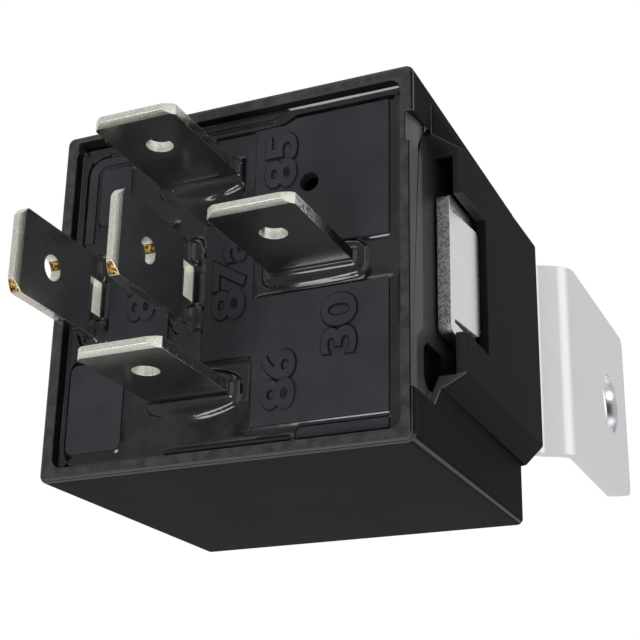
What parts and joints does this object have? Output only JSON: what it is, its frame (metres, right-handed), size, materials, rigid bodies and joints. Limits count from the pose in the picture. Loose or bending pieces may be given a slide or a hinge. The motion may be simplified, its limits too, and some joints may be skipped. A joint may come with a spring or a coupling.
{
  "type": "automotive relay",
  "caption": "Sealed changeover relay with flat blade terminals and a folded steel mounting bracket held in a pocket on its side.",
  "frame": {"origin": "centre of the cover's open rim, in the plane of the rim", "axes": "+Z the way the blades point; +X towards the side with the bracket; +Y towards coil blade 85"},
  "size_m": [0.0321, 0.0276, 0.0567],
  "materials": {
    "cover_plastic": "black moulded glass-filled nylon, flat sides, slightly glossy edges",
    "base_plastic": "blue-black moulded plastic with a fine grain",
    "resin": "glossy black potting resin",
    "zinc_steel": "bright zinc plate",
    "blade_metal": "tinned brass, bare at the sheared edges",
    "magnet_iron": "nickel-plated soft iron",
    "bobbin_plastic": "natural moulded nylon",
    "copper_wire": "enamelled copper wire",
    "tape": "amber polyester tape",
    "leaf_copper": "beryllium copper strip",
    "silver": "satin silver alloy",
    "spring_steel": "drawn spring wire"
  },
  "bodies": {
    "housing": {"cover": "cover_plastic", "base": "base_plastic", "sealing_resin": "resin", "bracket": "zinc_steel", "terminal_30": "blade_metal", "terminal_85": "blade_metal", "terminal_86": "blade_metal", "terminal_87": "blade_metal", "terminal_87a": "blade_metal", "yoke": "magnet_iron", "core": "magnet_iron", "bobbin": "bobbin_plastic", "coil_winding": "copper_wire", "coil_tape": "tape", "coil_lead_85": "copper_wire", "coil_lead_86": "copper_wire", "contact_no": "silver", "contact_nc": "silver", "return_spring": "spring_steel", "flexible_braid": "leaf_copper"},
    "armature_set": {"armature": "magnet_iron", "contact_leaf": "leaf_copper", "leaf_rivet_inner": "magnet_iron", "leaf_rivet_outer": "magnet_iron", "moving_contact": "silver"}
  },
  "joints": [
    {"name": "armature_hinge", "type": "hinge", "parent": "housing", "child": "armature_set", "pos_m": [0.0102, 0, -0.0178], "axis": [0, 1, 0], "range_deg": [0, 3], "stiffness_Nm_per_rad": 0.05, "springref_deg": -5.73, "deforming": ["return_spring", "flexible_braid"]}
  ]
}
